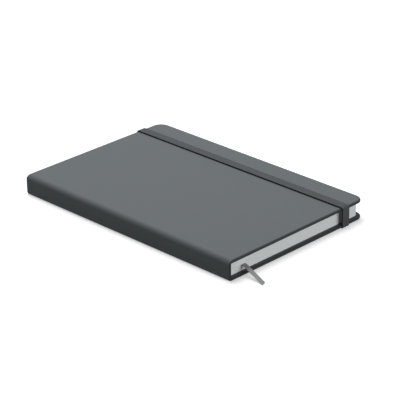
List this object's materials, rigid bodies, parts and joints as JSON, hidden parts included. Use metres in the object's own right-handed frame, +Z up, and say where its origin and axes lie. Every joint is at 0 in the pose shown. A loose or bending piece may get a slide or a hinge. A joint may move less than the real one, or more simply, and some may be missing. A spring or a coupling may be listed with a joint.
{
  "type": "hard-cover notebook",
  "caption": "Hard-cover notebook with rounded fore-edge corners, an elastic closure band and a ribbon marker; both covers turn at the spine.",
  "frame": {"origin": "middle of the back cover's outer face, on the table, half way between spine and fore-edge and between head and tail", "axes": "+X from the spine to the fore-edge, +Y from tail to head, +Z up through the closed book to the front cover"},
  "size_m": [0.14, 0.23, 0.0163],
  "materials": {
    "cover_skin": "soft-touch polyurethane skin, dead matt with a very fine grain",
    "board": "raw grey board",
    "card": "thin flexible spine card",
    "paper": "uncoated off-white writing paper, cut edges",
    "endpaper": "heavier uncoated off-white endpaper",
    "lining": "spine lining cloth, glued",
    "elastic": "flat woven elastic, stretched",
    "ribbon": "satin ribbon, slightly glossy"
  },
  "bodies": {
    "book_block": {"page_block": "paper", "spine_lining": "lining", "front_flyleaf": "endpaper", "back_flyleaf": "endpaper", "ribbon_marker": "ribbon", "spine_skin": "cover_skin", "spine_stiffener": "card"},
    "front_cover": {"front_board": "board", "front_skin": "cover_skin", "front_pastedown": "endpaper"},
    "back_cover": {"back_board": "board", "back_skin": "cover_skin", "back_pastedown": "endpaper", "elastic_band": "elastic"}
  },
  "joints": [
    {"name": "front_cover_hinge", "type": "hinge", "parent": "book_block", "child": "front_cover", "pos_m": [-0.0702, 0, 0.0134], "axis": [0, -1, 0], "range_deg": [0, 179], "deforming": ["elastic_band"]},
    {"name": "back_cover_hinge", "type": "hinge", "parent": "book_block", "child": "back_cover", "pos_m": [-0.0702, 0, 0.0021], "axis": [0, 1, 0], "range_deg": [0, 179], "deforming": ["elastic_band"]}
  ]
}
